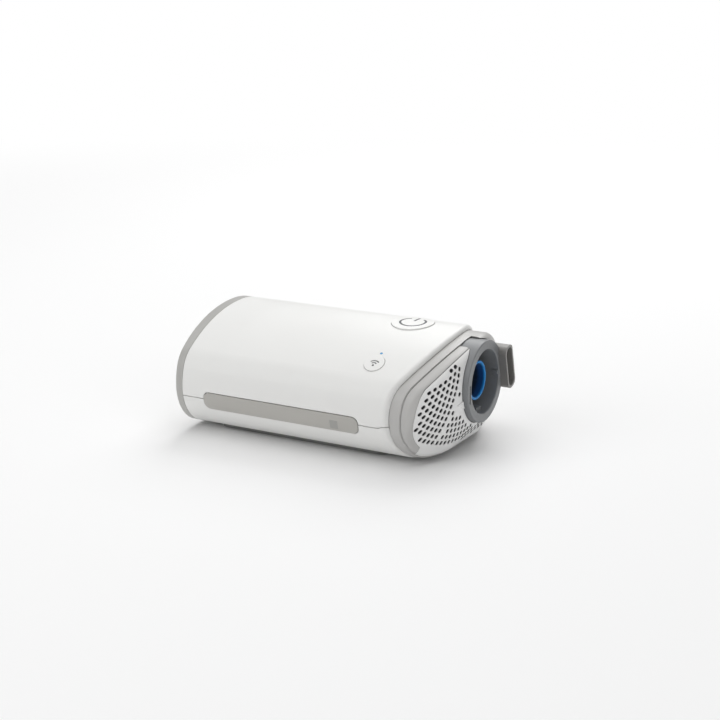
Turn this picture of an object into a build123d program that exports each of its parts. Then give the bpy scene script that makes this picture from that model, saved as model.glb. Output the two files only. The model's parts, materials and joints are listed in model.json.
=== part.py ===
from build123d import *
import math
import os

# A travel breathing-therapy unit. Millimetres, +Z up, X along the body with the air outlet at +X,
# the rounded front towards -Y. The origin is under the middle of the body, on the surface it stands on.

# overall size
overall_length = 136.0
overall_width = 84.0
overall_height = 52.0
foot_height = 2.0            # the casing's underside above the table

# cross-section of the casing (Y is depth, Z is height)
crest_y = 8.0                # where the top is highest
nose_z = 21.6                # height of the front-most line
top_sweep = 36.0             # degrees of the gentle top arc, then the tighter shoulder arc
shoulder_sweep = 36.0
shoulder_radius = 15.0
casing_wall = 2.0

# casing along X
cap_band = 3.9               # width of the left cap's visible band
cap_dome = 2.1               # how far its end face swells past the band
cap_wall = 2.0
cap_edge_radius = 1.2
cap_tongue = 4.0             # how far the cap's locating tongue reaches into the casing
tongue_wall = 1.5
seam_gap = 0.15              # visible line between the cap and the casing
latch_reach = 29.3           # the latch's front past the casing's end, measured at the front-most line
end_bulge = 13.0             # how far the outlet end swells between the two sides
lip_radius = 1.7             # rounded lip round the outlet end
parting_z = 18.0
groove_depth = 0.8
groove_width = 0.35

# outlet end
frame_gap = 0.2              # between the casing's inside and what slides into it
frame_wall = 2.0
frame_band = 4.6             # visible band of the end frame, past the casing's lip
frame_tuck = 7.0             # how far the frame reaches inside the casing
frame_drop = 1.8             # past the lip, how much lower the frame and the cover reach
bulkhead_thickness = 2.0
dome_fall = 16.4             # how far the end face falls back over half the width
dome_apex = 12.7             # dome's highest point past the casing's end arc
dome_y = 0.5
dome_drop = 0.2              # its highest point below the outlet's axis
dome_least = 1.2             # least height of the dome above the line round the cover
chin_reach = 2.6             # where the flat under the dome meets the body's bottom, past the end arc
chin_angle = 34.0            # degrees the flat leans from upright
chin_radius = 20.0           # blend between the flat and the dome
cover_step = 0.5             # the cover's side stands this much inside the frame's
cover_wall = 1.8
cover_gap = 0.3              # line between frame and cover, and round the outlet ring
cover_edge_radius = 4.0
skirt_depth = 3.2            # how far the cover's skirt reaches into the frame
skirt_wall = 1.2
ledge_width = 2.5            # how far the rim reaches under the grille's edge
ledge_thickness = 1.0
rim_tip = 8.7                # over the ring the rim stops this far in front of the outlet's axis
grille_margin = 4.4          # grille's outline inside the casing's
grille_lift = 1.3
grille_curl = 3.0            # how far the grille's edge turns back under the body
grille_foot_y = -32.0        # behind and below this point the grille runs down to the underside
grille_foot_z = 9.4
grille_rear_margin = 3.0
grille_seam = 0.1
split_top_y = 2.5            # rear edge of the cover, at the top and at the bottom of the body
split_bottom_y = 27.0
tab_length = 3.6             # pointed finger tab on the grille beside the ring
tab_height = 4.6
tab_drop = 6.0               # below the outlet's axis
tab_proud = 0.5

# air holes, in arcs about a point near the top of the grille
hole_width = 1.45
hole_length = 1.95           # along the arc's radius
hole_pitch = 2.19
hole_row = 2.655
hole_shift = 0.39            # how far each arc's holes are turned from the last, in pitches
hole_centre_y = -16.2
hole_centre_drop = 7.9       # below the top of the body
hole_first = 3.4
hole_margin = 0.3            # between the grille's outline and the edge of a hole

# air filter and its seat
filter_thickness = 4.0
filter_clearance = 0.3
intake_y0 = -34.0            # air window in the bulkhead
intake_y1 = -20.0
intake_z0 = 12.0
intake_z1 = 34.0

# air outlet
outlet_y = 1.7
outlet_drop = 20.8           # the outlet's axis below the top of the body
ring_radius = 17.8
ring_thickness = 8.5
ring_front = 12.8            # ring's front face past the middle of the casing's end arc
ring_edge_radius = 0.5
bore_radius = 13.8
bore_depth = 14.5
socket_floor = 4.0
neck_radius = 16.2
neck_skirt = 4.0             # thin tail of the neck that passes through the bulkhead
neck_clearance = 0.1
seal_outer = 8.5
seal_wall = 1.1
seal_recess = 3.7            # seal's rim behind the ring's front face
airway_radius = 5.6
spigot_wall = 1.4
spigot_length = 10.0
duct_wall = 1.2
duct_grip = 8.0              # how far the duct sleeves over the pipes it joins
ring_slot_y = -15.2          # upright slot in the ring's face, from the outlet's axis
ring_slot_width = 0.9
ring_slot_height = 8.0
ring_slot_drop = 2.2         # slot's middle below the axis
ring_slot_depth = 1.2
key_width = 5.0              # key on the floor of the bore
key_height = 2.0
key_start = 3.0              # behind the ring's front face
key_length = 7.0
nub_width = 1.6              # small catch on the bore's rear side
nub_height = 0.6
nub_length = 2.4
nub_start = 0.6              # behind the ring's front face
nub_angle = 3.0

# latch socket beside the ring, in a frame turned about the outlet's axis
latch_angle = 15.0
latch_inner = 14.3           # radial reach of the socket, from the outlet's axis
latch_outer = 21.8
latch_low = -12.0            # extent along the ring's tangent
latch_high = 8.0
latch_wall = 1.0
latch_pocket = 9.0
latch_back = 14.0            # how far it could reach behind its front face; the end face stops it first
latch_corner = 3.0
latch_seat_gap = 0.1

# controls
start_from_edge = 10.4       # buttons' centres, back from the casing's front length
start_y = 4.3
start_radius = 9.4
start_proud = 0.5
start_travel = 0.8
start_depth = 4.6            # underside of the button below the casing's surface
start_stem = 2.0             # radius of the pin that presses the switch
pair_from_edge = 11.1
pair_y = -29.4
pair_radius = 4.5
pair_proud = 0.3
pair_travel = 0.5
pair_depth = 3.5
button_gap = 0.15
start_flange = 1.3
pair_flange = 0.7
flange_thickness = 1.0
press_clearance = 0.1        # left between a pressed button and its switch
light_from_edge = 10.8
light_y = -23.8
light_radius = 0.6
light_clearance = 0.05
mark_depth = 0.3
power_ring_radius = 6.1
power_stroke = 1.0
power_opening = 62.0         # degrees
power_bar_low = 1.2
power_bar_high = 7.0
wave_stroke = 0.5
wave_dot_radius = 0.5
wave_first = 1.5
wave_step = 1.2
wave_count = 2
wave_sweep = 90.0
wave_drop = 1.4              # the dot below the button's centre

# strip on the front
strip_start = 10.9           # from the casing's left edge
strip_end = 12.4             # back from the casing's front length
strip_height = 7.6
strip_top_z = 21.0
strip_corner = 3.0
strip_gap = 0.35
strip_thickness = 1.5
strip_mark = 3.8
mark_from_end = 9.7
mark_rise = 1.0

# underside
pad_start = 7.6
pad_end = 7.7                # back from the casing's front length
pad_front_y = -25.0
pad_rear_y = 26.0
pad_lift = 0.3
pad_corner = 5.0
foot_radius = 4.0
foot_inset = 8.0
foot_sink = 1.0
boss_radius = 3.3
boss_left = 4.4              # left screws, from the casing's left edge
boss_right = 3.7             # right screws, back from the casing's front length
boss_left_front_y = -19.0
boss_right_front_y = -12.0
boss_rear_y = 22.0
screw_radius = 1.5
screw_clearance = 0.15
screw_head_radius = 2.8
screw_head_height = 2.0
screw_head_z = 8.0
screw_length = 24.0
screw_drive = 0.9

# power inlet in the left cap
inlet_y = 6.0
inlet_z = 22.0
inlet_radius = 4.6
inlet_bore = 3.0
inlet_pin = 1.0
inlet_flange = 6.2
inlet_flange_thickness = 1.2
inlet_depth = 9.0            # behind the cap's inner face
inlet_floor = 2.0

# chassis and boards
seat_gap = 0.1
plate_thickness = 1.5
chassis_start = 10.0         # from the casing's left edge
chassis_end = 7.7            # back from the casing's front length
chassis_front = -27.0
chassis_rear = 25.0
post_radius = 2.8
post_start = 16.0
post_end = 15.7
post_front = -13.5
post_rear = 21.5
board_drop = 11.0            # below the top of the body
board_thickness = 1.6
board_start = 12.0
board_end = 4.2
board_front = -17.0
board_rear = 26.0
board_boss_gap = 0.5
board_screw_radius = 1.0
board_screw_head = 1.9
board_screw_length = 7.0
chip_pitch = 16.0            # between the processor and the motor driver
sensor_size = 8.0
sensor_height = 2.4
sensor_port_radius = 1.2
sensor_port_height = 4.0
sensor_from_post = 5.0
switch_size = 6.0
switch_body = 2.6
switch_plunger_radius = 1.7
switch_plunger = 0.6
button_board_thickness = 1.0
button_board_left = 8.4      # reach from the pairing button's centre
button_board_right = 8.4
button_board_down = 4.4
button_board_up = 7.8
button_post_radius = 1.0
button_post_gap = 0.5        # between a button's flange and the posts beside it
pair_switch_size = 3.4
pair_switch_body = 1.2
pair_switch_plunger_radius = 0.9
pair_switch_plunger = 0.3

# blower
blower_start = 48.0          # blower's axis from the casing's left edge
blower_y = -11.0
volute_radius = 20.0
volute_wall = 1.5
volute_height = 17.5
volute_gap = 3.0             # between the blower and the main board
eye_radius = 8.0
pipe_reach = 28.0            # outlet pipe's end from the blower's axis
motor_can_radius = 13.5
motor_can_gap = 1.4          # between the motor's can and the chassis
impeller_radius = 16.0
impeller_lift = 4.0          # above the volute's floor
impeller_height = 7.5
impeller_plate = 1.4
blade_count = 11
blade_thickness = 1.0
blade_lean = 32.0
hub_radius = 3.6
shaft_radius = 1.5
running_clearance = 0.04
bearing_radius = 4.0
bearing_height = 2.5
bearing_seat_wall = 1.6
stator_gap = 0.1
stator_end_gap = 1.25        # between the stator and a bearing
rotor_end_gap = 0.3
magnet_radius = 6.6
air_gap = 0.8
mount_radius = 2.8
mount_circle = 16.9
foam_start = 4.0             # from the blower
foam_rear = -17.5
foam_drop = 10.0             # its top below the main board
foam_gap = 0.3

# worked out
body_bottom = foot_height
half_width = overall_width / 2
casing_left = -overall_length / 2 + cap_band + cap_dome
casing_nose = overall_length / 2 - latch_reach
casing_tip = casing_nose + end_bulge
end_radius = (half_width ** 2 + end_bulge ** 2) / (2 * end_bulge)
cap_inner = casing_left - cap_band + cap_wall
outlet_z = overall_height - outlet_drop
dome_z = outlet_z - dome_drop
dome_radius = (half_width ** 2 + dome_fall ** 2) / (2 * dome_fall)
dome_tip = casing_tip + dome_apex
dome_x = dome_tip - dome_radius
ring_x = casing_tip + ring_front
socket_back = ring_x - bore_depth
neck_back = socket_back - socket_floor
tail_back = neck_back - neck_skirt
spigot_back = neck_back - spigot_length
spigot_radius = airway_radius + spigot_wall
tab_z = outlet_z - tab_drop
hole_centre_z = overall_height - hole_centre_drop
seal_front = ring_x - seal_recess
seal_bore = seal_outer - seal_wall
latch_front = overall_length / 2
frame_inset = casing_wall + frame_gap
frame_inner = frame_inset + frame_wall
cover_inset = frame_inset + cover_step
skirt_inset = frame_inner + cover_gap
mid_z = (body_bottom + overall_height) / 2
start_x = casing_nose - start_from_edge
pair_x = casing_nose - pair_from_edge
light_x = casing_nose - light_from_edge
strip_length = casing_nose - strip_end - casing_left - strip_start
pad_length = casing_nose - pad_end - casing_left - pad_start
floor_z = body_bottom + casing_wall
plate_z = floor_z + seat_gap
plate_top = plate_z + plate_thickness
chassis_left = casing_left + chassis_start
chassis_right = casing_nose - chassis_end
post_left = casing_left + post_start
post_right = casing_nose - post_end
board_left = casing_left + board_start
board_right = casing_nose - board_end
board_z = overall_height - board_drop
board_top = board_z + board_thickness
sensor_x = post_right - sensor_from_post - sensor_size
blower_x = casing_left + blower_start
pipe_end_x = blower_x + pipe_reach
volute_top_z = board_z - volute_gap
volute_floor_z = volute_top_z - volute_height
impeller_z = volute_floor_z + impeller_lift
motor_can_z = plate_top + motor_can_gap
foam_left = blower_x + volute_radius + foam_start
foam_top = board_z - foam_drop
volute_inner = volute_radius - volute_wall
shaft_low = motor_can_z + volute_wall
lower_bearing_z = shaft_low
upper_bearing_z = volute_floor_z + volute_wall - bearing_height
stator_z = lower_bearing_z + bearing_height + stator_end_gap
stator_length = upper_bearing_z - stator_end_gap - stator_z
stator_inner = magnet_radius + air_gap
stator_outer = motor_can_radius - volute_wall - stator_gap
reach = overall_length + overall_width


def saveNode(shape, name):
    export_step(shape, f"parts/{name}.step")


def block(x0, x1, y0, y1, z0, z1):
    centre = Pos((x0 + x1) / 2, (y0 + y1) / 2, (z0 + z1) / 2)
    return centre * Box(x1 - x0, y1 - y0, z1 - z0)


def rod(x0, x1, y, z, radius):
    # a round bar along X
    return Pos((x0 + x1) / 2, y, z) * Rot(0, 90, 0) * Cylinder(radius, x1 - x0)


def post(x, y, z0, z1, radius):
    # a round bar along Z
    return Pos(x, y, (z0 + z1) / 2) * Cylinder(radius, z1 - z0)


def together(shapes):
    return Part() + shapes


def profileArcs(drop=0.0):
    # centre, radius, start angle and sweep of each arc round the section, from the back over the crest to
    # the front and down under; the top and nose radii follow from the width and the nose's height
    a1 = math.radians(top_sweep)
    a2 = math.radians(top_sweep + shoulder_sweep)
    across = crest_y + half_width - shoulder_radius * (math.sin(a2) - math.sin(a1))
    down = overall_height - nose_z - shoulder_radius * (math.cos(a1) - math.cos(a2))
    m11, m12 = math.sin(a1), 1 - math.sin(a2)
    m21, m22 = 1 - math.cos(a1), math.cos(a2)
    det = m11 * m22 - m12 * m21
    top = (across * m22 - m12 * down) / det
    nose = (m11 * down - m21 * across) / det
    top_centre = (crest_y, overall_height - top)
    s1 = math.radians(90 + top_sweep)
    s2 = math.radians(90 + top_sweep + shoulder_sweep)
    inward = top - shoulder_radius
    shoulder_centre = (top_centre[0] + inward * math.cos(s1), top_centre[1] + inward * math.sin(s1))
    inward = shoulder_radius - nose
    nose_centre = (shoulder_centre[0] + inward * math.cos(s2), shoulder_centre[1] + inward * math.sin(s2))
    under = nose_centre[1] - body_bottom
    back = half_width - crest_y
    heel = overall_height - back - body_bottom
    return [
        ((crest_y, overall_height - back), back, 0, 90),
        (top_centre, top, 90, top_sweep),
        (shoulder_centre, shoulder_radius, 90 + top_sweep, shoulder_sweep),
        (nose_centre, nose, 90 + top_sweep + shoulder_sweep, 90 - top_sweep - shoulder_sweep),
        ((-half_width + under, nose_centre[1] - drop), under, 180, 90),
        ((half_width - heel, overall_height - back - drop), heel, 270, 90),
    ]


def sectionFace(inset=0.0, drop=0.0):
    # the casing's section in the YZ plane, every side moved in by inset, the lower half moved down by drop
    arcs = [CenterArc(c, r - inset, start, sweep) for c, r, start, sweep in profileArcs(drop)]
    edges = arcs[:4]
    if drop > 0:
        edges.append(Line(arcs[3] @ 1, arcs[4] @ 0))
    edges += [arcs[4], Line(arcs[4] @ 1, arcs[5] @ 0), arcs[5]]
    if drop > 0:
        edges.append(Line(arcs[5] @ 1, arcs[0] @ 0))
    return Plane.YZ * make_face(edges)


def prism(inset, x0, x1, drop=0.0):
    return Pos(x0, 0, 0) * extrude(sectionFace(inset, drop), x1 - x0)


def endCylinder(x_nose):
    # everything left of the outlet end's arc, where that arc starts at x_nose on the sides
    return Pos(x_nose + end_bulge - end_radius, 0, mid_z) * Cylinder(end_radius, 2 * overall_height)


def dome(shrink=0.0):
    # everything behind the end face, which is a ball with a flat under its chin
    ball = Pos(dome_x, dome_y, dome_z) * Sphere(dome_radius - shrink)
    side = 2 * dome_radius
    corner = Pos(casing_tip + chin_reach, dome_y, body_bottom) * Rot(0, chin_angle, 0)
    ball -= corner * Pos(side / 2 - shrink, 0, 0) * Box(side, side, side)
    return fillet(ball.faces().filter_by(GeomType.PLANE).edges(), chin_radius - shrink)


def behindLine(gap=0.0):
    # everything behind the line between the end frame and the cover
    return endCylinder(casing_nose + frame_band + gap) & (Pos(gap - dome_least, 0, 0) * dome())


def endBody(inset, edge_radius):
    # the outlet end's solid form: the section run out to the dome, with a rounded edge
    body = prism(inset, casing_nose - frame_tuck, dome_tip + 5, frame_drop)
    body &= dome()
    return fillet(endRim(body), edge_radius)


def endRim(body):
    # the edges between the section's side and the end face
    caps = [f for f in body.faces() if f.normal_at(f.center()).X > 0.5]
    sides = [f for f in body.faces() if abs(f.normal_at(f.center()).X) < 0.05]
    cap_edges = [e for f in caps for e in f.edges()]
    return [e for f in sides for e in f.edges() if e in cap_edges]


def topPoint(y):
    # height and outward tilt in degrees of the casing's top at depth y, in front of the crest
    (cy, cz), r = profileArcs()[1][:2]
    tilt = math.asin((cy - y) / r)
    return cz + r * math.cos(tilt), math.degrees(tilt)


def onTop(x, y):
    # a frame on the casing's top at (x, y), its Z along the outward normal
    z, tilt = topPoint(y)
    return Pos(x, y, z) * Rot(tilt, 0, 0)


def splitY(z):
    lean = (split_bottom_y - split_top_y) / (overall_height - body_bottom)
    return split_bottom_y - lean * (z - body_bottom)


def inFront(shift=0.0):
    # everything in front of the slanted line between the cover and the rear of the frame
    z0, z1 = -overall_height, 2 * overall_height
    corners = [(-overall_width, z0), (splitY(z0) + shift, z0), (splitY(z1) + shift, z1), (-overall_width, z1)]
    outline = Plane.YZ * make_face(Polyline(*corners, close=True))
    return Pos(-reach / 2, 0, 0) * extrude(outline, reach)


def depthInside(y, z):
    # how far a point lies inside the dropped outline of the outlet end; negative outside
    if z < nose_z:
        z = min(nose_z, z + frame_drop)
    depth = z - body_bottom
    for (cy, cz), r, start, sweep in profileArcs():
        angle = math.degrees(math.atan2(z - cz, y - cy)) % 360
        if start <= angle <= start + sweep:
            depth = min(depth, r - math.hypot(y - cy, z - cz))
    return depth


# casing

def lowerRegion():
    # below the parting line, which steps up across the lip at the outlet end
    x0, x1 = -overall_length, overall_length
    kink = casing_nose - lip_radius - 1
    step = groove_depth
    outline = Polyline((x0, -foot_height), (x0, parting_z), (kink, parting_z), (kink + 2 * step, parting_z + step),
                       (x1, parting_z + step), (x1, -foot_height), close=True)
    return Pos(0, overall_width, 0) * extrude(Plane.XZ * make_face(outline), 2 * overall_width)


def stripOutline(grow):
    # the front strip's outline pushed through the front wall; the slot grows at its top and right end
    length, height = strip_length + grow, strip_height + grow
    x_mid = casing_left + strip_start + length / 2
    z_mid = strip_top_z - strip_height + height / 2
    outline = Pos(x_mid, 0, z_mid) * Rot(90, 0, 0) * RectangleRounded(length, height, strip_corner)
    return extrude(outline, overall_width)


def outerSkin(depth, proud=0.0):
    x0, x1 = casing_left, casing_nose
    return prism(-proud, x0, x1) - prism(depth, x0 - 1, x1 + 1)


def casingForm(inset):
    # the casing's solid form with its rounded lip, every side but the left moved in by inset
    form = prism(inset, casing_left, casing_tip + 1) & endCylinder(casing_nose - inset)
    return fillet(form.faces().sort_by(Axis.X)[-1].edges(), lip_radius - inset)


def casingShell():
    shell = casingForm(0) - prism(casing_wall, casing_left - 1, casing_tip + 2)
    return shell - (stripOutline(strip_gap) & outerSkin(strip_thickness, 1))


def partingGroove():
    # a thin line round the casing that follows the step over the lip
    half = groove_width / 2
    slab = Pos(0, 0, half) * lowerRegion() - Pos(0, 0, -half) * lowerRegion()
    return (prism(-1, casing_left, casing_tip + 1) - casingForm(groove_depth)) & slab


def bossPlaces():
    left, right = casing_left + boss_left, casing_nose - boss_right
    return [(left, boss_left_front_y), (left, boss_rear_y), (right, boss_right_front_y), (right, boss_rear_y)]


def columns(radius, z0, z1):
    return together([post(x, y, z0, z1, radius) for x, y in bossPlaces()])


def insideCasing(gap=0.0):
    return prism(casing_wall + gap, casing_left, casing_tip)


def buttonPosts():
    # posts under the sloping front of the top that carry the button board
    off = pair_radius + pair_flange + button_post_gap + button_post_radius
    low, high = -buttonBoardTop(), 1 - casing_wall
    frame = onTop(pair_x, pair_y) * Pos(0, 0, (low + high) / 2)
    return together([frame * Pos(s * off, 0, 0) * Cylinder(button_post_radius, high - low) for s in (-1, 1)])


def buttonBoardTop():
    # depth of the button board's upper face under the casing's surface
    return pair_depth + pair_travel + press_clearance + pair_switch_plunger + pair_switch_body


def upperCasing(shell, groove):
    inner = prism(casing_wall / 2, casing_left, casing_tip)
    shape = shell - lowerRegion() + (inner & (columns(boss_radius, parting_z, overall_height) + buttonPosts()))
    shape -= columns(screw_radius, 0, screw_head_z + screw_length + 1)
    shape -= onTop(start_x, start_y) * Cylinder(start_radius + button_gap, 4 * casing_wall)
    shape -= onTop(pair_x, pair_y) * Cylinder(pair_radius + button_gap, 4 * casing_wall)
    shape -= onTop(light_x, light_y) * Cylinder(light_radius + light_clearance, 4 * casing_wall)
    return shape - groove


def lowerCasing(shell, groove):
    inner = prism(casing_wall / 2, casing_left, casing_tip)
    shape = (shell & lowerRegion()) + (inner & columns(boss_radius, 0, parting_z))
    shape -= columns(screw_radius + screw_clearance, 0, parting_z + 1)
    shape -= columns(screw_head_radius + screw_clearance, 0, screw_head_z)
    return shape - groove


def casingScrews():
    screws = []
    under = screw_head_z - screw_head_height
    for x, y in bossPlaces():
        screw = post(x, y, under, screw_head_z, screw_head_radius)
        screw += post(x, y, screw_head_z, screw_head_z + screw_length, screw_radius)
        screws.append(screw - post(x, y, under - 1, under + screw_head_height / 2, screw_drive))
    return Compound(children=screws)


def leftEndCap():
    end_x = -overall_length / 2
    swell = (half_width ** 2 + cap_dome ** 2) / (2 * cap_dome)
    outer = prism(0, end_x - 1, casing_left - seam_gap) & (Pos(end_x + swell, 0, mid_z) * Sphere(swell))
    outer = fillet(outer.faces().sort_by(Axis.X)[0].edges(), cap_edge_radius)
    shape = outer - prism(cap_wall, cap_inner, casing_left)
    inner_inset = frame_inset + tongue_wall
    tongue = prism(frame_inset - seat_gap, casing_left - 1, casing_left + cap_tongue)
    tongue += prism(cap_wall - 0.5, cap_inner - 0.5, casing_left - seam_gap)
    tongue -= prism(inner_inset, cap_inner - 1, casing_left + cap_tongue + 1)
    shape += tongue - columns(boss_radius + frame_gap, 0, overall_height)
    return shape - rod(end_x - 1, casing_left, inlet_y, inlet_z, inlet_radius + seat_gap / 2)


def powerInlet():
    front = cap_inner - cap_wall
    shape = rod(front, cap_inner + inlet_depth, inlet_y, inlet_z, inlet_radius)
    shape += rod(cap_inner, cap_inner + inlet_flange_thickness, inlet_y, inlet_z, inlet_flange)
    return shape - rod(front - 1, cap_inner + inlet_depth - inlet_floor, inlet_y, inlet_z, inlet_bore)


def inletContact():
    return rod(cap_inner, cap_inner + inlet_depth - inlet_floor, inlet_y, inlet_z, inlet_pin)


# strip, pad and feet

def stripMark(grow=0.0):
    x1 = casing_left + strip_start + strip_length - mark_from_end
    z0 = strip_top_z - strip_height + mark_rise
    tile = block(x1 - strip_mark, x1, -half_width - 5, 0, z0, z0 + strip_mark)
    return tile & outerSkin(mark_depth, grow)


def sideStrip():
    return (stripOutline(0) & outerSkin(strip_thickness)) - stripMark(1)


def footPlaces():
    x0 = casing_left + pad_start + foot_inset
    x1 = casing_left + pad_start + pad_length - foot_inset
    return [(x, y) for x in (x0, x1) for y in (pad_front_y + foot_inset, pad_rear_y - foot_inset)]


def basePad():
    x0 = casing_left + pad_start
    pad = block(x0, x0 + pad_length, pad_front_y, pad_rear_y, pad_lift, body_bottom + casing_wall / 2)
    pad = fillet(pad.edges().filter_by(Axis.Z), pad_corner)
    pad -= prism(0, casing_left, casing_tip)
    top = pad_lift + foot_sink
    return pad - together([post(x, y, 0, top, foot_radius + seat_gap / 2) for x, y in footPlaces()])


def rubberFeet():
    top = pad_lift + foot_sink
    return Compound(children=[post(x, y, 0, top, foot_radius) for x, y in footPlaces()])


# outlet end

def outletEndFrame():
    # the tube inside the casing with its bulkhead, the band past the lip, and the end face behind the cover
    lip = endCylinder(casing_nose + frame_gap)
    inner = prism(frame_inner, -reach, reach)
    tube = (prism(frame_inset, casing_nose - frame_tuck - 1, dome_tip) & lip) - inner
    plate = prism(frame_inset + frame_wall / 2, casing_nose - frame_tuck - 1, casing_tip)
    plate &= endCylinder(casing_nose - frame_tuck + bulkhead_thickness)
    plate -= rod(0, reach, outlet_y, outlet_z, neck_radius + neck_clearance)
    plate -= block(0, reach, intake_y0, intake_y1, intake_z0, intake_z1)
    face = endBody(frame_inset, cover_edge_radius) - lip
    face -= inFront(cover_gap / 2) - behindLine()
    face -= inner & dome(frame_wall)
    face -= inner & inFront(cover_gap / 2)
    face -= rod(casing_nose, reach, outlet_y, outlet_z, ring_radius + cover_gap)
    return (tube + plate + face) - endCylinder(casing_nose - frame_tuck)


def coverBody():
    # the filter cover's solid form, before it is hollowed and divided into its rim and its grille
    body = endBody(cover_inset, cover_edge_radius) & inFront(-cover_gap / 2)
    return (body - behindLine(cover_gap)) - rod(0, reach, outlet_y, outlet_z, ring_radius + cover_gap)


def grilleWindow(inset=0.0):
    # the grille's outline, closed at its foot
    body = Pos(0, 0, grille_lift) * prism(grille_margin + inset, 0, reach, frame_drop)
    return body & inFront(-grille_rear_margin - inset)


def grilleSpace(gap=0.0):
    # where the grille lies: a skin of the end face, down to the underside, where its edge turns back
    inner = prism(cover_inset + cover_wall - gap, 0, reach, frame_drop)
    space = grilleWindow(gap) + grilleFoot(gap)
    return space - (dome(cover_wall - gap) & (inner + Pos(gap - grille_curl, 0, 0) * dome()))


def grilleFoot(inset=0.0):
    # the stretch that runs on to the underside
    foot = block(0, reach, grille_foot_y + inset, reach, -foot_height, grille_foot_z)
    return foot & inFront(-grille_rear_margin - inset)


def filterCoverRim(body):
    skin = cover_wall + ledge_thickness
    shape = body - (prism(cover_inset + cover_wall, 0, reach, frame_drop) & dome(skin))
    shape -= grilleSpace()
    skirt = prism(skirt_inset, casing_nose, reach) - prism(skirt_inset + skirt_wall, 0, reach)
    skirt &= inFront(-cover_gap / 2) & dome(cover_wall + ledge_thickness / 2)
    skirt -= behindLine(-skirt_depth)
    skirt -= rod(0, reach, outlet_y, outlet_z, ring_radius + cover_gap)
    inner = prism(cover_inset + cover_wall, 0, reach, frame_drop)
    shape = (shape - grilleWindow(ledge_width) - (grilleFoot(ledge_width) & inner)) + skirt
    return shape - block(0, reach, outlet_y - rim_tip, reach, outlet_z, reach)


def holePlaces():
    # (y, z, turn in degrees) of every air hole
    places = []
    for row in range(int(overall_height / hole_row)):
        radius = hole_first + row * hole_row
        step = hole_pitch / radius
        for i in range(int(2 * math.pi / step)):
            angle = (i + hole_shift * (row + 1)) * step
            y = hole_centre_y - radius * math.sin(angle)
            z = hole_centre_z - radius * math.cos(angle)
            places.append((y, z, -90 - math.degrees(angle)))
    return [p for p in places if holeClear(p[0], p[1])]


def holeClear(y, z):
    edge = depthInside(y, z - grille_lift) - grille_margin
    behind = splitY(z) - grille_rear_margin - y
    beside = math.hypot(y - outlet_y, z - outlet_z) - ring_radius - cover_gap
    in_tab = tabOutlineContains(y, z)
    return min(edge, behind, beside) > hole_margin + hole_length / 2 and not in_tab


def tabTip():
    root_y = outlet_y - math.sqrt((ring_radius + cover_gap) ** 2 - (tab_z - outlet_z) ** 2)
    return root_y - tab_length, root_y


def tabOutlineContains(y, z):
    tip, root = tabTip()
    spread = hole_length / 2 + hole_margin
    return y > tip - spread and y < root + 1 and abs(z - tab_z) < tab_height / 2 + spread


def grilleTab():
    tip, root = tabTip()
    half = tab_height / 2
    outline = Plane.YZ * make_face(Polyline((tip, tab_z), (root + 1.5, tab_z - half),
                                            (root + 1.5, tab_z + half), close=True))
    body = extrude(outline, reach) & dome(-tab_proud)
    return (body - dome(cover_wall / 2)) - rod(0, reach, outlet_y, outlet_z, ring_radius + cover_gap)


def filterGrille(body):
    grille = body & grilleSpace(grille_seam)
    drill = extrude(Plane.YZ * SlotOverall(hole_length, hole_width), reach)
    return (grille - [Pos(0, y, z) * Rot(turn, 0, 0) * drill for y, z, turn in holePlaces()]) + grilleTab()


def airFilter():
    back = casing_nose - frame_tuck + bulkhead_thickness + filter_clearance
    inset = skirt_inset + skirt_wall + filter_clearance
    pad = prism(inset, casing_nose - frame_tuck, casing_tip) & endCylinder(back + filter_thickness)
    pad = (pad - endCylinder(back)) & inFront(-cover_gap)
    return pad - rod(0, reach, outlet_y, outlet_z, neck_radius + filter_clearance)


def outletRing():
    ring = rod(ring_x - ring_thickness, ring_x, outlet_y, outlet_z, ring_radius)
    ring -= rod(ring_x - ring_thickness, ring_x, outlet_y, outlet_z, bore_radius)
    edges = ring.faces().sort_by(Axis.X)[-1].edges()
    return fillet(edges, ring_edge_radius)


def boreKey():
    x1 = ring_x - key_start
    z1 = outlet_z - bore_radius + key_height
    return block(x1 - key_length, x1, outlet_y - key_width / 2, outlet_y + key_width / 2, z1 - key_height - 1, z1)


def boreNub():
    x1 = ring_x - nub_start
    nub = block(x1 - nub_length, x1, bore_radius - nub_height, bore_radius + 1, -nub_width / 2, nub_width / 2)
    return Pos(0, outlet_y, outlet_z) * Rot(nub_angle, 0, 0) * nub


def outletConnector():
    shape = outletRing()
    shape += rod(tail_back, ring_x - ring_thickness, outlet_y, outlet_z, neck_radius)
    shape -= rod(socket_back, ring_x - ring_thickness, outlet_y, outlet_z, bore_radius)
    shape -= rod(tail_back, neck_back, outlet_y, outlet_z, neck_radius - casing_wall)
    shape += (boreKey() + boreNub()) & rod(socket_back, ring_x, outlet_y, outlet_z, bore_radius + 1)
    shape += rod(spigot_back, neck_back, outlet_y, outlet_z, spigot_radius)
    shape -= rod(spigot_back, socket_back, outlet_y, outlet_z, airway_radius)
    slot_y = outlet_y + ring_slot_y
    slot_z = outlet_z - ring_slot_drop
    half_y, half_z = ring_slot_width / 2, ring_slot_height / 2
    return shape - block(ring_x - ring_slot_depth, ring_x + 1, slot_y - half_y, slot_y + half_y,
                         slot_z - half_z, slot_z + half_z)


def outletSeal():
    shape = rod(socket_back, seal_front, outlet_y, outlet_z, seal_outer)
    shape -= rod(socket_back, seal_front, outlet_y, outlet_z, seal_bore)
    rim = shape.faces().sort_by(Axis.X)[-1].edges()
    return fillet(rim, seal_wall / 3)


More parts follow.
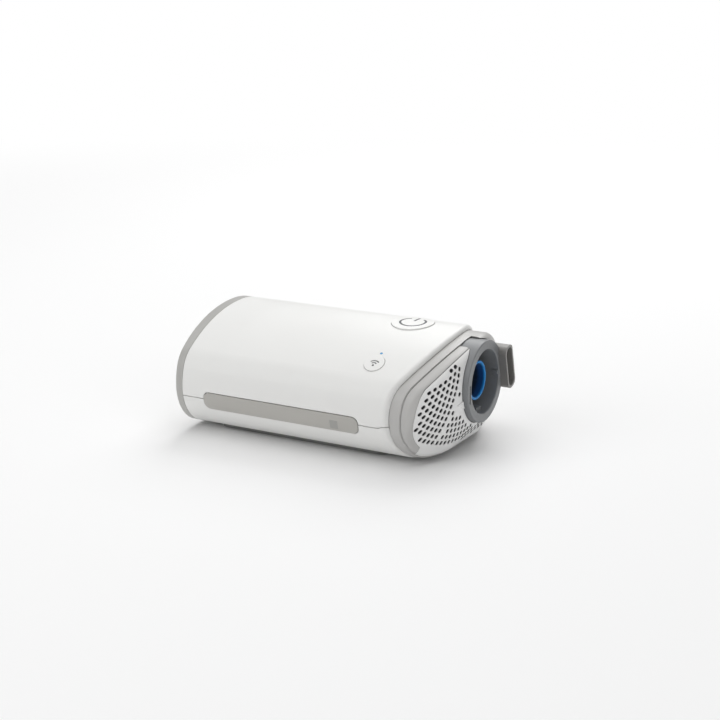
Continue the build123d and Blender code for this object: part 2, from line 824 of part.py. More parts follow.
def latchBlock(inset, x0, x1, corner):
    # an upright block in the latch's turned frame, its sides moved in by inset
    width = latch_outer - latch_inner - 2 * inset
    height = latch_high - latch_low - 2 * inset
    centre = Pos((latch_inner + latch_outer) / 2, (latch_low + latch_high) / 2)
    outline = Plane.YZ * centre * RectangleRounded(width, height, corner)
    body = Pos(x0, 0, 0) * extrude(outline, x1 - x0)
    return Pos(0, outlet_y, outlet_z) * Rot(latch_angle, 0, 0) * body


def latchSocket():
    shape = latchBlock(0, latch_front - latch_back, latch_front, latch_corner)
    shape -= latchBlock(latch_wall, latch_front - latch_pocket, latch_front + 1, latch_corner - latch_wall / 2)
    shape -= rod(0, ring_x, outlet_y, outlet_z, ring_radius)
    return shape - dome(-latch_seat_gap)


# controls

def buttonBlank(frame, radius, flange_width, proud, depth):
    cap = frame * Pos(0, 0, (radius - depth) / 2) * Cylinder(radius, radius + depth)
    cap &= prism(-proud, casing_left, casing_tip)
    flange = frame * Pos(0, 0, flange_thickness / 2 - depth) * Cylinder(radius + flange_width, flange_thickness)
    return cap + flange


def inlay(frame, outline, proud):
    # a printed mark set into a button, its face level with the button's
    body = frame * Pos(0, 0, -2) * extrude(outline, 4)
    return body & (prism(-proud, casing_left, casing_tip) - prism(mark_depth - proud, casing_left, casing_tip))


def powerOutline():
    middle = power_ring_radius - power_stroke / 2
    arc = CenterArc((0, 0), middle, 90 + power_opening / 2, 360 - power_opening)
    bar = Line((0, power_bar_low), (0, power_bar_high))
    return [trace(arc, power_stroke), trace(bar, power_stroke)]


def waveOutline():
    marks = [Pos(0, -wave_drop) * Circle(wave_dot_radius)]
    for i in range(wave_count):
        arc = CenterArc((0, -wave_drop), wave_first + i * wave_step, 90 - wave_sweep / 2, wave_sweep)
        marks.append(trace(arc, wave_stroke))
    return marks


def symbolSolids(frame, outlines, proud):
    return [solid for outline in outlines for solid in inlay(frame, outline, proud).solids()]


def startButton(marks):
    frame = onTop(start_x, start_y)
    shape = buttonBlank(frame, start_radius, start_flange, start_proud, start_depth)
    low = board_top + switch_body + switch_plunger + start_travel + press_clearance
    high = topPoint(start_y)[0] - start_depth
    shape += frame * Pos(0, 0, -start_depth - (high - low) / 2) * Cylinder(start_stem, high - low)
    return shape - marks


def pairingButton(marks):
    shape = buttonBlank(onTop(pair_x, pair_y), pair_radius, pair_flange, pair_proud, pair_depth)
    return shape - marks


def statusLight():
    top = prism(-light_clearance, casing_left, casing_tip)
    frame = onTop(light_x, light_y)
    pipe = (frame * Pos(0, 0, -buttonBoardTop() / 2) * Cylinder(light_radius, 2 * buttonBoardTop())) & top
    depth = buttonBoardTop() - seat_gap
    below = block(-overall_width, overall_width, -overall_width, overall_width, -depth - overall_height, -depth)
    return pipe - onTop(pair_x, pair_y) * below


def buttonBoard():
    low = -buttonBoardTop() - button_board_thickness
    board = block(-button_board_left, button_board_right, -button_board_down, button_board_up,
                  low, low + button_board_thickness)
    return onTop(pair_x, pair_y) * board


def pairingSwitch():
    low = -buttonBoardTop()
    half = pair_switch_size / 2
    body = block(-half, half, -half, half, low, low + pair_switch_body)
    top = low + pair_switch_body
    return onTop(pair_x, pair_y) * (body + post(0, 0, top, top + pair_switch_plunger, pair_switch_plunger_radius))


def startSwitch():
    half = switch_size / 2
    top = board_top + switch_body
    body = block(start_x - half, start_x + half, start_y - half, start_y + half, board_top, top)
    return body + post(start_x, start_y, top, top + switch_plunger, switch_plunger_radius)


# chassis and main board

def postPlaces():
    return [(x, y) for x in (post_left, post_right) for y in (post_front, post_rear)]


def mountPlaces():
    off = mount_circle / math.sqrt(2)
    return [(blower_x + sx * off, blower_y + sy * off) for sx in (-1, 1) for sy in (-1, 1)]


def chassis():
    plate = block(chassis_left, chassis_right, chassis_front, chassis_rear, plate_z, plate_top)
    shape = plate + together([post(x, y, plate_z, board_z, post_radius) for x, y in postPlaces()])
    drill_end = board_top - board_screw_length - 1
    drill = together([post(x, y, drill_end, reach, board_screw_radius) for x, y in postPlaces()])
    return (shape & insideCasing(seat_gap)) - drill


def mainBoard():
    board = block(board_left, board_right, board_front, board_rear, board_z, board_top)
    board -= columns(boss_radius + board_boss_gap, 0, overall_height)
    return board - together([post(x, y, 0, reach, board_screw_radius + seat_gap) for x, y in postPlaces()])


def boardScrews():
    screws = []
    for x, y in postPlaces():
        screw = post(x, y, board_top, board_top + board_screw_head / 2, board_screw_head)
        screws.append(screw + post(x, y, board_top - board_screw_length, board_top, board_screw_radius))
    return Compound(children=screws)


def boardComponents():
    # processor, motor driver, memory, two capacitors and the radio module on the main board
    x0 = board_left + chip_pitch + 4
    chips = [(x0, 0, 10, 10, 1.4), (x0 + chip_pitch, 3, 8, 12, 1.2), (sensor_x - 6, 14, 9, 9, 1.4),
             (x0 - 8, 16, 12, 7, 2.2)]
    bodies = [block(x - w / 2, x + w / 2, y - d / 2, y + d / 2, board_top, board_top + h) for x, y, w, d, h in chips]
    cans = [post(x0 + chip_pitch + x, 0, board_top, board_top + 3, 2.5) for x in (10, 18)]
    return Compound(children=bodies + cans)


def pressureSensor():
    x1, y0 = sensor_x + sensor_size, board_rear - sensor_size - 4
    shape = block(sensor_x, x1, y0, y0 + sensor_size, board_top, board_top + sensor_height)
    for x in (sensor_x + sensor_size / 3, x1 - sensor_size / 3):
        shape += post(x, y0 + sensor_size / 2, board_top, board_top + sensor_port_height, sensor_port_radius)
    return shape


# blower

def atBlower(z0, z1, radius):
    return post(blower_x, blower_y, z0, z1, radius)


def blowerLowerHousing():
    top = volute_floor_z + volute_wall
    shape = atBlower(motor_can_z, volute_floor_z, motor_can_radius) + atBlower(volute_floor_z, top, volute_radius)
    shape -= atBlower(shaft_low, volute_floor_z, motor_can_radius - volute_wall)
    seat = bearing_radius + bearing_seat_wall
    shape += atBlower(lower_bearing_z - 0.5, lower_bearing_z + bearing_height, seat)
    shape += atBlower(upper_bearing_z, top, seat)
    shape -= atBlower(lower_bearing_z, lower_bearing_z + bearing_height, bearing_radius)
    return shape - atBlower(upper_bearing_z, top, bearing_radius)


def blowerUpperHousing():
    low = volute_floor_z + volute_wall
    roof = volute_top_z - volute_wall
    shape = atBlower(low, volute_top_z, volute_radius)
    shape += rod(blower_x, pipe_end_x, outlet_y, outlet_z, spigot_radius)
    shape -= atBlower(low, roof, volute_inner)
    shape -= atBlower(low, volute_top_z + 1, eye_radius)
    across = rod(blower_x, pipe_end_x + 1, outlet_y, outlet_z, airway_radius)
    return shape - (across - atBlower(0, reach, volute_inner - 1))


def motorBearings():
    bore = shaft_radius + running_clearance
    rings = [atBlower(z, z + bearing_height, bearing_radius) - atBlower(z, z + bearing_height, bore)
             for z in (lower_bearing_z, upper_bearing_z)]
    return Compound(children=rings)


def motorStator():
    z1 = stator_z + stator_length
    ring = atBlower(stator_z, z1, stator_outer) - atBlower(stator_z, z1, stator_inner)
    slots = []
    for i in range(6):
        slot = block(stator_inner + 1.4, stator_outer - 1.2, -1, 1, stator_z - 1, z1 + 1)
        slots.append(Pos(blower_x, blower_y, 0) * Rot(0, 0, 60 * i) * slot)
    return ring - slots


def motorRotor():
    z0, z1 = stator_z + rotor_end_gap, stator_z + stator_length - rotor_end_gap
    return atBlower(z0, z1, magnet_radius) - atBlower(z0, z1, shaft_radius)


def motorShaft():
    return atBlower(shaft_low + 0.3, impeller_z + impeller_height, shaft_radius)


def impeller():
    top = impeller_z + impeller_height
    shape = atBlower(impeller_z, impeller_z + impeller_plate, impeller_radius)
    shape += atBlower(impeller_z, top, hub_radius)
    start = hub_radius + 1.5
    blade = block(start, impeller_radius - 1, -blade_thickness / 2, blade_thickness / 2, impeller_z, top)
    blade = Pos(start, 0, 0) * Rot(0, 0, -blade_lean) * Pos(-start, 0, 0) * blade
    limit = post(0, 0, impeller_z, top, impeller_radius)
    for i in range(blade_count):
        shape += Pos(blower_x, blower_y, 0) * Rot(0, 0, i * 360 / blade_count) * (blade & limit)
    return shape - atBlower(impeller_z, top, shaft_radius)


def blowerMounts():
    return Compound(children=[post(x, y, plate_top, volute_floor_z, mount_radius) for x, y in mountPlaces()])


def mufflerFoam():
    body = block(foam_left, casing_tip, -half_width, foam_rear, plate_top + foam_gap, foam_top)
    return body & insideCasing(foam_gap) & endCylinder(casing_nose - frame_tuck - foam_gap)


def outletDuct():
    x0 = pipe_end_x - duct_grip
    x1 = spigot_back + duct_grip
    duct = rod(x0, x1, outlet_y, outlet_z, spigot_radius + duct_wall)
    duct -= rod(x0, x1, outlet_y, outlet_z, spigot_radius)
    return duct


def main():
    os.makedirs("parts", exist_ok=True)
    shell = casingShell()
    groove = partingGroove()
    cover = coverBody()
    start_marks = symbolSolids(onTop(start_x, start_y), powerOutline(), start_proud)
    pair_marks = symbolSolids(onTop(pair_x, pair_y), waveOutline(), pair_proud)
    nodes = {
        "upper_casing": upperCasing(shell, groove),
        "lower_casing": lowerCasing(shell, groove),
        "left_end_cap": leftEndCap(),
        "outlet_end_frame": outletEndFrame(),
        "filter_cover_rim": filterCoverRim(cover),
        "filter_grille": filterGrille(cover),
        "air_filter": airFilter(),
        "outlet_connector": outletConnector(),
        "latch_socket": latchSocket(),
        "outlet_seal": outletSeal(),
        "start_button": startButton(start_marks),
        "start_symbol": Compound(children=start_marks),
        "pairing_button": pairingButton(pair_marks),
        "pairing_symbol": Compound(children=pair_marks),
        "status_light": statusLight(),
        "side_strip": sideStrip(),
        "strip_mark": stripMark(),
        "base_pad": basePad(),
        "rubber_feet": rubberFeet(),
        "casing_screws": casingScrews(),
        "power_inlet": powerInlet(),
        "inlet_contact": inletContact(),
        "chassis": chassis(),
        "main_board": mainBoard(),
        "board_components": boardComponents(),
        "board_screws": boardScrews(),
        "start_switch": startSwitch(),
        "button_board": buttonBoard(),
        "pairing_switch": pairingSwitch(),
        "pressure_sensor": pressureSensor(),
        "blower_lower_housing": blowerLowerHousing(),
        "blower_upper_housing": blowerUpperHousing(),
        "motor_stator": motorStator(),
        "motor_rotor": motorRotor(),
        "motor_shaft": motorShaft(),
        "motor_bearings": motorBearings(),
        "impeller": impeller(),
        "blower_mounts": blowerMounts(),
        "muffler_foam": mufflerFoam(),
        "outlet_duct": outletDuct(),
    }
    for name, shape in nodes.items():
        saveNode(shape, name)
        print(name)


main()
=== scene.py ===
import json
import bpy
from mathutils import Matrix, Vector

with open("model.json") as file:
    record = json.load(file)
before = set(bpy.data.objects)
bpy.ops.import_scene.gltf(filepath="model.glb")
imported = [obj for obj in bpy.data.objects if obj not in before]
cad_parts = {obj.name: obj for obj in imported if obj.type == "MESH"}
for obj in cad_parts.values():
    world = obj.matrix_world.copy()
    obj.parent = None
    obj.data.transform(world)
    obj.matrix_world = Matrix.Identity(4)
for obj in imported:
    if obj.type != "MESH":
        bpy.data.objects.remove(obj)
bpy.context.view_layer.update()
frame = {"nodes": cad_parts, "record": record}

nodes = frame["nodes"]
mm = 0.001
# noise values lie mostly between these two, so ramps run from one to the other
noiseSpan = (0.3, 0.7)


def linearColour(hexCode):
    parts = [int(hexCode[i:i + 2], 16) / 255 for i in (1, 3, 5)]
    return [c / 12.92 if c <= 0.04045 else ((c + 0.055) / 1.055) ** 2.4 for c in parts] + [1.0]


def addNode(tree, kind, settings={}, links={}):
    # settings are the node's own properties or the values of its sockets,
    # links say which output feeds which socket
    node = tree.nodes.new(kind)
    for key, value in settings.items():
        if isinstance(key, str) and hasattr(node, key):
            setattr(node, key, value)
        else:
            node.inputs[key].default_value = value
    for key, source in links.items():
        tree.links.new(source, node.inputs[key])
    return node


def newMaterial(name):
    material = bpy.data.materials.new(name)
    material.use_nodes = True
    material.node_tree.nodes.clear()
    return material, material.node_tree


def perMetre(sizeMm):
    # noise scale at which one blob is about sizeMm across
    return 1 / (sizeMm * mm)


# moulded plastics and rubbers: one recipe, a dictionary for each

def paintedHoleShade(tree, place, colour, holes):
    # painted shade: the walls of the small holes are painted darker with depth below the ball that the
    # face is part of
    reach = addNode(tree, "ShaderNodeVectorMath",
                    {"operation": "DISTANCE", 1: [v * mm for v in holes["centreMm"]]}, {0: place})
    radius = holes["radiusMm"] * mm
    shallow, deep = [radius - v * mm for v in holes["shadeMm"]]
    depth = addNode(tree, "ShaderNodeMapRange", {"From Min": shallow, "From Max": deep},
                    {"Value": reach.outputs["Value"]})
    normal = addNode(tree, "ShaderNodeNewGeometry").outputs["True Normal"]
    outward = addNode(tree, "ShaderNodeSeparateXYZ", {}, {"Vector": normal}).outputs["X"]
    wall = addNode(tree, "ShaderNodeMath", {"operation": "LESS_THAN", 1: holes["wallTilt"]},
                   {0: outward})
    height = addNode(tree, "ShaderNodeSeparateXYZ", {}, {"Vector": place}).outputs["Z"]
    above = addNode(tree, "ShaderNodeMath",
                    {"operation": "GREATER_THAN", 1: holes["aboveMm"] * mm}, {0: height})
    inside = addNode(tree, "ShaderNodeMath", {"operation": "MULTIPLY"},
                     {0: wall.outputs["Value"], 1: above.outputs["Value"]})
    share = addNode(tree, "ShaderNodeMath", {"operation": "MULTIPLY"},
                    {0: inside.outputs["Value"], 1: depth.outputs["Result"]})
    shaded = addNode(tree, "ShaderNodeMixRGB", {"Color2": linearColour(holes["colour"])},
                     {"Fac": share.outputs["Value"], "Color1": colour})
    return shaded.outputs["Color"]


def boreShade(tree, place, colour, bore):
    # painted shade looking into the bore: the front bead keeps its own colour, then each step in turns
    # to the next, darker colour
    along = addNode(tree, "ShaderNodeSeparateXYZ", {}, {"Vector": place}).outputs["X"]
    for startMm, endMm, hexCode in bore:
        share = addNode(tree, "ShaderNodeMapRange", {"From Min": startMm * mm, "From Max": endMm * mm},
                        {"Value": along})
        colour = addNode(tree, "ShaderNodeMixRGB", {"Color2": linearColour(hexCode)},
                         {"Fac": share.outputs["Result"], "Color1": colour}).outputs["Color"]
    return colour


def mouldedSurface(spec):
    material, tree = newMaterial(spec["name"])
    place = addNode(tree, "ShaderNodeTexCoord").outputs["Object"]
    grain = addNode(tree, "ShaderNodeTexNoise", {"Scale": perMetre(spec["grainMm"]), "Detail": 2.0},
                    {"Vector": place})
    cloud = addNode(tree, "ShaderNodeTexNoise", {"Scale": perMetre(spec["cloudMm"]), "Detail": 3.0},
                    {"Vector": place})
    base = linearColour(spec["colour"])
    tint = addNode(tree, "ShaderNodeValToRGB", {}, {"Fac": cloud.outputs["Fac"]})
    for element, position, side in zip(tint.color_ramp.elements, noiseSpan, (-1, 1)):
        element.position = position
        element.color = [min(1, c * (1 + side * spec["cloudDepth"])) for c in base[:3]] + [1]
    shine = addNode(tree, "ShaderNodeMapRange",
                    {"From Min": noiseSpan[0], "From Max": noiseSpan[1],
                     "To Min": spec["roughness"] - spec["roughSpread"],
                     "To Max": spec["roughness"] + spec["roughSpread"]}, {"Value": cloud.outputs["Fac"]})
    edge = addNode(tree, "ShaderNodeBevel", {"samples": 4, "Radius": spec["edgeMm"] * mm})
    bump = addNode(tree, "ShaderNodeBump",
                   {"Strength": 1.0, "Distance": spec["grainHeightMm"] * mm},
                   {"Height": grain.outputs["Fac"], "Normal": edge.outputs["Normal"]})
    colour = tint.outputs["Color"]
    # painted shade on the walls of the holes
    if "holes" in spec:
        colour = paintedHoleShade(tree, place, colour, spec["holes"])
    # painted shade deeper in the bore of the seal
    if "bore" in spec:
        colour = boreShade(tree, place, colour, spec["bore"])
    surface = addNode(tree, "ShaderNodeBsdfPrincipled",
                      {"IOR": spec["ior"], "Coat Weight": spec.get("coat", 0.0), "Coat Roughness": 0.2,
                       "Sheen Weight": spec.get("sheen", 0.0), "Sheen Roughness": 0.4,
                       "Subsurface Weight": spec.get("subsurface", 0.0),
                       "Subsurface Radius": (1, 1, 1), "Subsurface Scale": 1.0 * mm},
                      {"Base Color": colour, "Roughness": shine.outputs["Result"],
                       "Normal": bump.outputs["Normal"]})
    addNode(tree, "ShaderNodeOutputMaterial", {}, {"Surface": surface.outputs["BSDF"]})
    return material


# ABS blend from a spark-eroded mould: the fine even grain spreads highlights into a soft satin
whiteAbs = {"name": "white_abs_moulded", "colour": "#EEEEEC", "roughness": 0.42,
            "roughSpread": 0.04, "ior": 1.53, "grainMm": 0.25, "grainHeightMm": 0.006,
            "cloudMm": 18, "cloudDepth": 0.006, "edgeMm": 0.25, "subsurface": 0.05}
greyAbs = dict(whiteAbs, name="light_grey_abs_moulded", colour="#BDBCBA", roughness=0.38,
               subsurface=0.0, cloudDepth=0.012)
# thin perforated plate: painted shade darkens the walls of the holes within half a millimetre of the
# face
grilleAbs = dict(whiteAbs, name="white_abs_grille", colour="#F0F0EF", roughness=0.40, edgeMm=0.2,
                 holes={"centreMm": (2.42, 0.5, 31.0), "radiusMm": 61.98, "shadeMm": (0.1, 0.5),
                        "wallTilt": 0.1, "aboveMm": 4.8, "colour": "#3E3F41"})
# darker greys of the same blend: the clouding of the pigment shows a little more
outletAbs = dict(whiteAbs, name="mid_grey_abs_moulded", colour="#7E8082", roughness=0.36,
                 subsurface=0.0, cloudDepth=0.02, edgeMm=0.3)
latchAbs = dict(outletAbs, name="warm_grey_abs_moulded", colour="#84827F")
chassisAbs = dict(outletAbs, name="grey_abs_chassis", colour="#787A7C", roughness=0.5)
capAbs = dict(greyAbs, name="grey_abs_end_cap", colour="#B4B3B0")
# pad-printed ink: a thin flat film, duller than the plastic round it
markInk = dict(whiteAbs, name="grey_pad_printed_ink", colour="#55575A", roughness=0.55,
               subsurface=0.0, edgeMm=0.05, grainHeightMm=0.002)
# overmoulded elastomers: matt, with a faint sheen at a glancing angle
stripSoft = dict(whiteAbs, name="grey_soft_overmould", colour="#B7B5B0", roughness=0.5,
                 subsurface=0.0, sheen=0.15)
stripTile = dict(stripSoft, name="grey_abs_tile", colour="#A5A4A1", roughness=0.4, sheen=0.0)
padRubber = dict(whiteAbs, name="grey_tpe_pad", colour="#8E8E8D", roughness=0.7, ior=1.5,
                 subsurface=0.0, sheen=0.2, grainMm=0.5, grainHeightMm=0.02)
footRubber = dict(padRubber, name="dark_rubber_foot", colour="#4E4E50")
# silicone: waxy, light gets a little way in and the highlight stays soft
softSilicone = dict(whiteAbs, roughness=0.3, ior=1.41, subsurface=0.15, sheen=0.1, cloudDepth=0.03)
# the bore colours step darker going in: painted shade inside the seal
blueSilicone = dict(softSilicone, name="blue_silicone_seal", colour="#2A8FDA",
                    bore=[(60.4, 59.6, "#1E4F8E"), (58.4, 56.8, "#22324C"), (56.2, 54.8, "#3A3C40")])
clearSilicone = dict(softSilicone, name="grey_silicone_duct", colour="#A6A9AC", roughness=0.45)
mountSilicone = dict(softSilicone, name="dark_silicone_mount", colour="#3A3B3D", roughness=0.5)
# nylons: matt, the glass-filled one mottled where fibres reach the skin
nylonBlack = dict(whiteAbs, name="black_nylon_moulded", colour="#232325", roughness=0.5,
                  subsurface=0.0, grainMm=0.4)
blowerNylon = dict(nylonBlack, name="glass_filled_nylon", colour="#303235", roughness=0.6,
                   cloudDepth=0.08, cloudMm=2)
# moulded packages, sensor body and impeller: plain, slightly matt resin
epoxyBlack = dict(nylonBlack, name="black_epoxy_package", colour="#202022", roughness=0.65)
sensorWhite = dict(whiteAbs, name="white_lcp_sensor", colour="#CDCDC8", roughness=0.5)
impellerPlastic = dict(whiteAbs, name="natural_polymer_impeller", colour="#CDCDC8", roughness=0.35)
# polished acrylic: a sharp highlight, and a little light gets inside
ledLens = dict(whiteAbs, name="blue_acrylic_light_pipe", colour="#3F97CC", roughness=0.15,
               ior=1.49, coat=0.5, subsurface=0.3, grainHeightMm=0.0005)
print("plastics ready")


# metals, board, felt and foam

def solderMask(spec):
    # solder mask over copper: thin lighter lines where the tracks run, gloss on top
    material, tree = newMaterial(spec["name"])
    place = addNode(tree, "ShaderNodeTexCoord").outputs["Object"]
    tracks = addNode(tree, "ShaderNodeTexBrick",
                     {"Scale": perMetre(spec["trackMm"]) / 4, "Mortar Size": 0.06,
                      "Color1": linearColour(spec["colour"]),
                      "Color2": linearColour(spec["colourTwo"]),
                      "Mortar": linearColour(spec["track"])}, {"Vector": place})
    bump = addNode(tree, "ShaderNodeBump", {"Strength": 0.4, "Distance": spec["trackHeightMm"] * mm},
                   {"Height": tracks.outputs["Fac"]})
    surface = addNode(tree, "ShaderNodeBsdfPrincipled", {"Roughness": 0.3, "IOR": 1.5},
                      {"Base Color": tracks.outputs["Color"], "Normal": bump.outputs["Normal"]})
    addNode(tree, "ShaderNodeOutputMaterial", {}, {"Surface": surface.outputs["BSDF"]})
    return material


def workedMetal(spec):
    # ground or plated metal: fine lines one way, a slight change of shine along them
    material, tree = newMaterial(spec["name"])
    place = addNode(tree, "ShaderNodeTexCoord").outputs["Object"]
    lines = addNode(tree, "ShaderNodeMapping", {"Scale": (1, 1, spec["lineRatio"])}, {"Vector": place})
    grain = addNode(tree, "ShaderNodeTexNoise", {"Scale": perMetre(spec["lineMm"]), "Detail": 3.0},
                    {"Vector": lines.outputs["Vector"]})
    roughSpread = 0.08
    shine = addNode(tree, "ShaderNodeMapRange",
                    {"To Min": spec["roughness"] - roughSpread,
                     "To Max": spec["roughness"] + roughSpread}, {"Value": grain.outputs["Fac"]})
    lineHeightMm = 0.01
    bump = addNode(tree, "ShaderNodeBump", {"Strength": 0.5, "Distance": lineHeightMm * mm},
                   {"Height": grain.outputs["Fac"]})
    surface = addNode(tree, "ShaderNodeBsdfPrincipled",
                      {"Metallic": 1.0, "Base Color": linearColour(spec["colour"])},
                      {"Roughness": shine.outputs["Result"], "Normal": bump.outputs["Normal"]})
    addNode(tree, "ShaderNodeOutputMaterial", {}, {"Surface": surface.outputs["BSDF"]})
    return material


def feltOrFoam(spec):
    # felt is a mat of crossed fibres, foam a web of small open cells: both scatter light, and their pits
    # are painted darker, painted shade
    material, tree = newMaterial(spec["name"])
    place = addNode(tree, "ShaderNodeTexCoord").outputs["Object"]
    cells = addNode(tree, "ShaderNodeTexVoronoi", {"Scale": perMetre(spec["cellMm"])},
                    {"Vector": place})
    fuzz = addNode(tree, "ShaderNodeTexNoise", {"Scale": perMetre(spec["cellMm"] / 2), "Detail": 4.0},
                   {"Vector": place})
    height = addNode(tree, "ShaderNodeMath", {"operation": "ADD"},
                     {0: cells.outputs["Distance"], 1: fuzz.outputs["Fac"]})
    # painted shade: the colour runs darker towards the cell centres, where the bump sinks the pits
    tint = addNode(tree, "ShaderNodeValToRGB", {}, {"Fac": cells.outputs["Distance"]})
    for element, key in zip(tint.color_ramp.elements, ("colourPitShade", "colour")):
        element.color = linearColour(spec[key])
    bump = addNode(tree, "ShaderNodeBump", {"Strength": 0.8, "Distance": spec["depthMm"] * mm},
                   {"Height": height.outputs["Value"]})
    surface = addNode(tree, "ShaderNodeBsdfPrincipled",
                      {"Roughness": 0.95, "Sheen Weight": 0.3, "IOR": 1.5},
                      {"Base Color": tint.outputs["Color"], "Normal": bump.outputs["Normal"]})
    addNode(tree, "ShaderNodeOutputMaterial", {}, {"Surface": surface.outputs["BSDF"]})
    return material


boardMask = {"name": "green_solder_mask", "colour": "#1E5438", "colourTwo": "#1A4A32",
             "track": "#2C6A48", "trackMm": 0.6, "trackHeightMm": 0.03}
# zinc plating: an even shine with a slight mottle
screwZinc = {"name": "zinc_plated_steel", "colour": "#A8A8AC", "roughness": 0.35,
             "lineMm": 0.3, "lineRatio": 1}
# punched sheets, stacked: thin lines one above the other
laminations = {"name": "electrical_steel_laminations", "colour": "#7C7A78", "roughness": 0.5,
               "lineMm": 0.35, "lineRatio": 8}
magnetNickel = {"name": "nickel_plated_magnet", "colour": "#A09C94", "roughness": 0.3,
                "lineMm": 0.5, "lineRatio": 1}
# ground shaft and bearings: fine scratches drawn out along the axis
groundSteel = {"name": "ground_steel", "colour": "#B9B9BC", "roughness": 0.25,
               "lineMm": 0.2, "lineRatio": 0.1}
contactNickel = {"name": "nickel_plated_brass", "colour": "#CFC6A8", "roughness": 0.25,
                 "lineMm": 0.3, "lineRatio": 0.2}
# the darker pit colours are painted shade
filterFelt = {"name": "polyester_filter_felt", "colour": "#6E6F70", "colourPitShade": "#3C3D3E",
              "cellMm": 0.35, "depthMm": 0.15}
mufflerFoam = {"name": "open_cell_foam", "colour": "#6A6B6D", "colourPitShade": "#303133",
               "cellMm": 0.8, "depthMm": 0.4}
print("metals and soft materials ready")

slotMaterials = {
    "casing_white": mouldedSurface(whiteAbs), "cap_grey": mouldedSurface(capAbs),
    "frame_grey": mouldedSurface(greyAbs), "cover_grey": mouldedSurface(greyAbs),
    "grille_white": mouldedSurface(grilleAbs), "filter_felt": feltOrFoam(filterFelt),
    "outlet_grey": mouldedSurface(outletAbs), "latch_grey": mouldedSurface(latchAbs),
    "seal_blue": mouldedSurface(blueSilicone), "button_white": mouldedSurface(whiteAbs),
    "symbol_grey": mouldedSurface(markInk), "light_lens": mouldedSurface(ledLens),
    "strip_grey": mouldedSurface(stripSoft), "mark_grey": mouldedSurface(stripTile),
    "pad_rubber": mouldedSurface(padRubber), "foot_rubber": mouldedSurface(footRubber),
    "screw_steel": workedMetal(screwZinc), "inlet_black": mouldedSurface(nylonBlack),
    "contact_brass": workedMetal(contactNickel), "chassis_grey": mouldedSurface(chassisAbs),
    "board_green": solderMask(boardMask), "component_black": mouldedSurface(epoxyBlack),
    "switch_black": mouldedSurface(nylonBlack), "sensor_white": mouldedSurface(sensorWhite),
    "blower_black": mouldedSurface(blowerNylon), "stator_steel": workedMetal(laminations),
    "magnet_grey": workedMetal(magnetNickel), "shaft_steel": workedMetal(groundSteel),
    "impeller_plastic": mouldedSurface(impellerPlastic), "mount_rubber": mouldedSurface(mountSilicone),
    "foam_grey": feltOrFoam(mufflerFoam), "duct_rubber": mouldedSurface(clearSilicone),
}
for part in frame["record"]["subparts"]:
    data = nodes[part["node"]].data
    data.materials.clear()
    data.materials.append(slotMaterials[part["material_slot"]])
print("materials on", len(nodes), "nodes")


# studio: each lamp's place, width in metres and power in watts

studio = {
    "lamps": {"overhead": ((-0.1, 0.1, 1.3), 1.6, 10.9), "front": ((-0.5, -1.0, 0.7), 0.9, 4.7),
              "rear": ((-0.2, 1.1, 1.0), 1.0, 9.6), "right": ((1.1, -0.5, 0.8), 0.9, 2.4)},
    "lampTarget": (0, 0, 0.02),
    "worldStrength": 0.18,
    "floorColour": "#F6F6F6", "floorHalf": 12.0, "floorFade": (0.4, 1.1),
    "cameraPlace": (0.31563, -0.55839, 0.20959), "cameraTarget": (0.00434, 0, 0.03299),
    "lensMm": 75, "sensorMm": 36,
}


def hangUp(name, data, place, target):
    # puts a lamp or a camera at its place, looking at the target
    holder = bpy.data.objects.new(name, data)
    bpy.context.scene.collection.objects.link(holder)
    place, target = Vector(place), Vector(target)
    holder.location = place
    holder.rotation_euler = (target - place).to_track_quat("-Z", "Y").to_euler()
    return holder


def areaLamp(name):
    place, size, power = studio["lamps"][name]
    lamp = bpy.data.lights.new(name, "AREA")
    lamp.shape = "SQUARE"
    lamp.size = size
    lamp.energy = power
    hangUp(name, lamp, place, studio["lampTarget"])


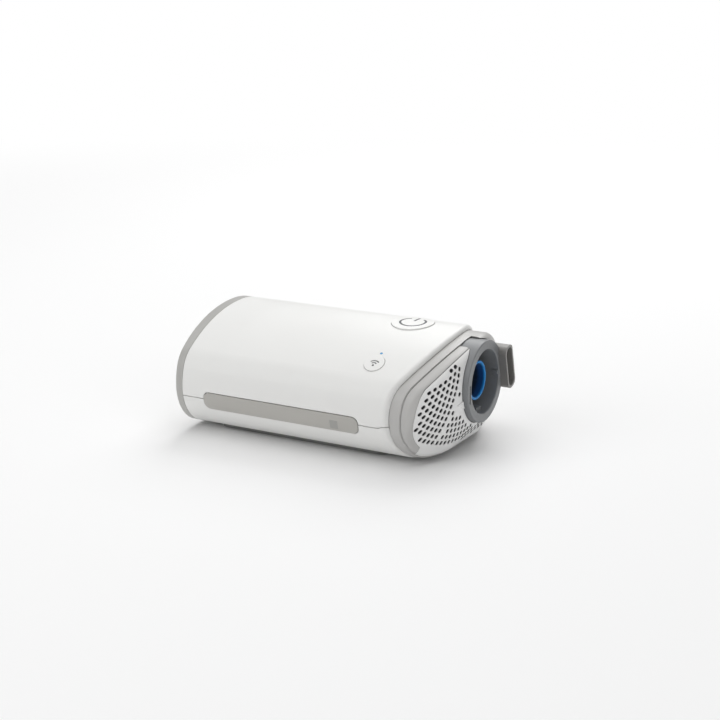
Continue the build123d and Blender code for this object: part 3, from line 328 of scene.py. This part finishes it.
def paleFloor():
    # a white sweep that turns to plain white further out; the glow shows to the camera, in
    # reflections and through clear pieces, and adds no light to the object
    material, tree = newMaterial("white_paper_sweep")
    seen = addNode(tree, "ShaderNodeLightPath")
    shown = seen.outputs["Is Camera Ray"]
    for ray in ("Is Glossy Ray", "Is Transmission Ray"):
        shown = addNode(tree, "ShaderNodeMath", {"operation": "MAXIMUM"},
                        {0: shown, 1: seen.outputs[ray]}).outputs["Value"]
    near, far = studio["floorFade"]
    place = addNode(tree, "ShaderNodeTexCoord").outputs["Object"]
    reach = addNode(tree, "ShaderNodeVectorMath", {"operation": "LENGTH"}, {0: place})
    fade = addNode(tree, "ShaderNodeMapRange",
                   {"interpolation_type": "SMOOTHSTEP", "From Min": near, "From Max": far},
                   {"Value": reach.outputs["Value"]})
    share = addNode(tree, "ShaderNodeMath", {"operation": "MULTIPLY"},
                    {0: shown, 1: fade.outputs["Result"]})
    paper = addNode(tree, "ShaderNodeBsdfDiffuse", {"Color": linearColour(studio["floorColour"])})
    glow = addNode(tree, "ShaderNodeEmission", {"Color": (1, 1, 1, 1), "Strength": 1.0})
    both = addNode(tree, "ShaderNodeMixShader", {},
                   {0: share.outputs["Value"], 1: paper.outputs["BSDF"], 2: glow.outputs["Emission"]})
    addNode(tree, "ShaderNodeOutputMaterial", {}, {"Surface": both.outputs["Shader"]})
    half = studio["floorHalf"]
    mesh = bpy.data.meshes.new("floor")
    mesh.from_pydata([(-half, -half, 0), (half, -half, 0), (half, half, 0), (-half, half, 0)],
                     [], [(0, 1, 2, 3)])
    mesh.materials.append(material)
    floor = bpy.data.objects.new("floor", mesh)
    bpy.context.scene.collection.objects.link(floor)


def whiteWorld():
    # white to the camera and through clear pieces, a weak even light to everything else
    world = bpy.data.worlds.new("white_studio")
    world.use_nodes = True
    tree = world.node_tree
    tree.nodes.clear()
    seen = addNode(tree, "ShaderNodeLightPath")
    shown = addNode(tree, "ShaderNodeMath", {"operation": "MAXIMUM"},
                    {0: seen.outputs["Is Camera Ray"], 1: seen.outputs["Is Transmission Ray"]})
    strength = addNode(tree, "ShaderNodeMapRange", {"To Min": studio["worldStrength"], "To Max": 1.0},
                       {"Value": shown.outputs["Value"]})
    light = addNode(tree, "ShaderNodeBackground", {"Color": (1, 1, 1, 1)},
                    {"Strength": strength.outputs["Result"]})
    addNode(tree, "ShaderNodeOutputWorld", {}, {"Surface": light.outputs["Background"]})
    bpy.context.scene.world = world


def mainCamera():
    lens = bpy.data.cameras.new("camera")
    lens.lens = studio["lensMm"]
    lens.sensor_width = studio["sensorMm"]
    bpy.context.scene.camera = hangUp("camera", lens, studio["cameraPlace"], studio["cameraTarget"])


for lampName in studio["lamps"]:
    areaLamp(lampName)
paleFloor()
whiteWorld()
mainCamera()
bpy.context.scene.view_settings.view_transform = "Standard"
print("studio ready")
